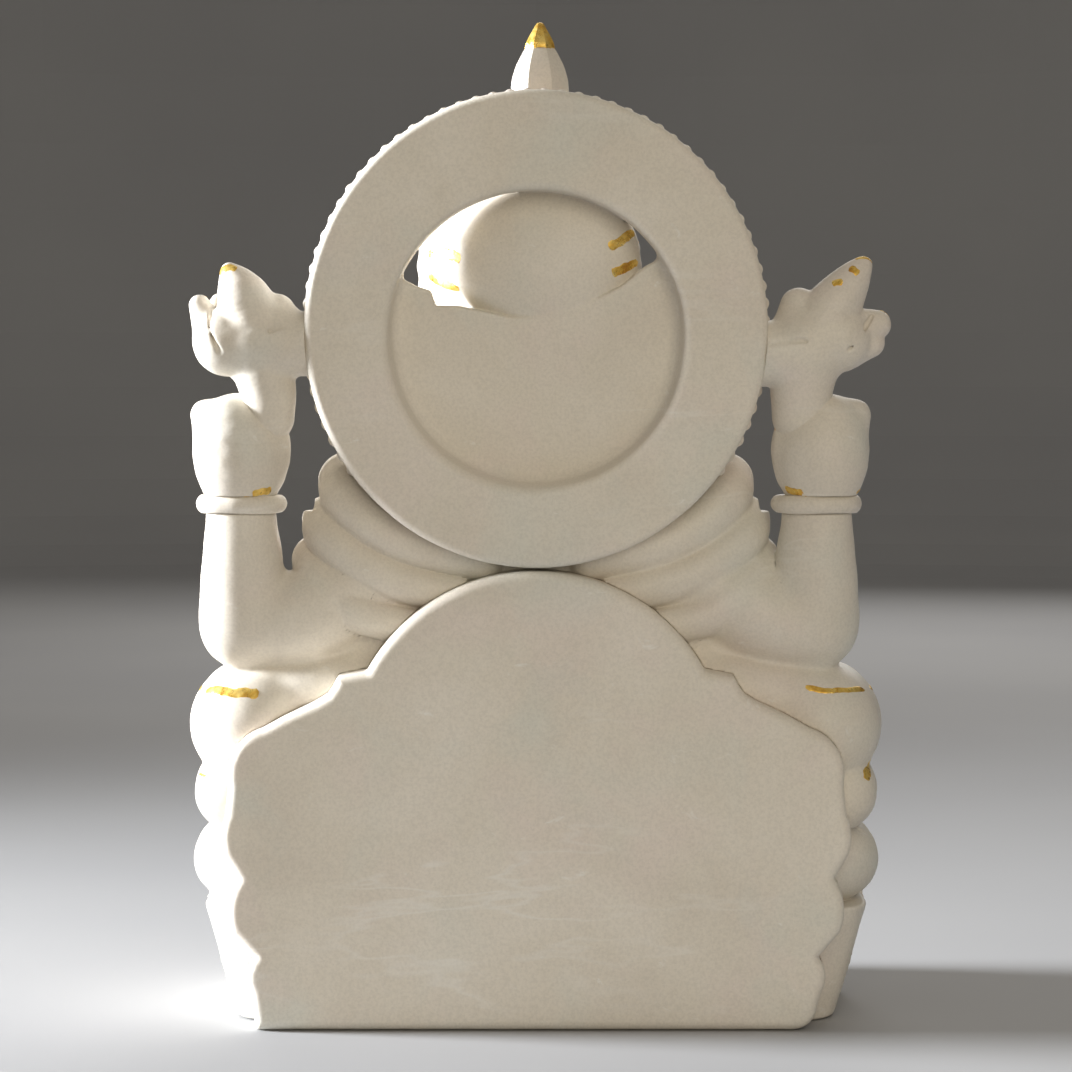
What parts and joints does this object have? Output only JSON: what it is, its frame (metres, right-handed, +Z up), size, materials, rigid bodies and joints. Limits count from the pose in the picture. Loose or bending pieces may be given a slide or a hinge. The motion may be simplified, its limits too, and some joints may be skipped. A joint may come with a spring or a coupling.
{
  "type": "ganesha idol",
  "caption": "Seated four-armed elephant-headed idol in white marble with a flat lobed back slab, a pierced halo ring and gold paint accents, for a shelf or home shrine.",
  "frame": {"origin": "centre of the footprint on the floor plane", "axes": "+Z up to the tip of the crown, -Y the way the idol faces, +Y out of the flat back, +X the idol's left"},
  "size_m": [0.212, 0.1118, 0.305],
  "materials": {
    "marble": "satin",
    "gold_paint": "satin",
    "dark_paint": "satin"
  },
  "bodies": {
    "root": {"lotus_base": "marble", "lotus_petals": "marble", "seat_cushion": "marble", "back_slab": "marble", "halo_ring": "marble", "halo_scalloped_rim": "marble", "halo_web": "marble", "torso": "marble", "belly": "marble", "left_shawl": "marble", "right_shawl": "marble", "head": "marble", "left_ear": "marble", "right_ear": "marble", "eyes": "dark_paint", "forehead_mark": "gold_paint", "trunk": "marble", "left_tusk": "marble", "right_tusk": "marble", "crown_band": "marble", "crown_dome": "marble", "crown_finial": "marble", "crown_gilding": "gold_paint", "finial_gilding": "gold_paint", "left_rear_upper_arm": "marble", "right_rear_upper_arm": "marble", "left_rear_forearm": "marble", "right_rear_forearm": "marble", "left_rear_bracelet": "marble", "right_rear_bracelet": "marble", "left_rear_hand": "marble", "right_rear_hand": "marble", "wrist_gilding": "gold_paint", "left_lotus": "marble", "right_lotus": "marble", "lotus_gilding": "gold_paint", "left_front_upper_arm": "marble", "right_front_upper_arm": "marble", "left_front_forearm": "marble", "right_front_forearm": "marble", "left_front_bracelet": "gold_paint", "right_front_bracelet": "gold_paint", "left_front_hand": "marble", "right_front_hand": "marble", "laddu_bowl": "gold_paint", "laddus": "marble", "left_thigh": "marble", "right_thigh": "marble", "thigh_gilding": "gold_paint", "left_shin": "marble", "right_shin": "marble", "left_foot": "marble", "right_foot": "marble", "anklets": "gold_paint", "dhoti_lap": "marble", "belly_belt": "gold_paint", "necklace": "gold_paint", "mouse": "marble"}
  },
  "joints": []
}
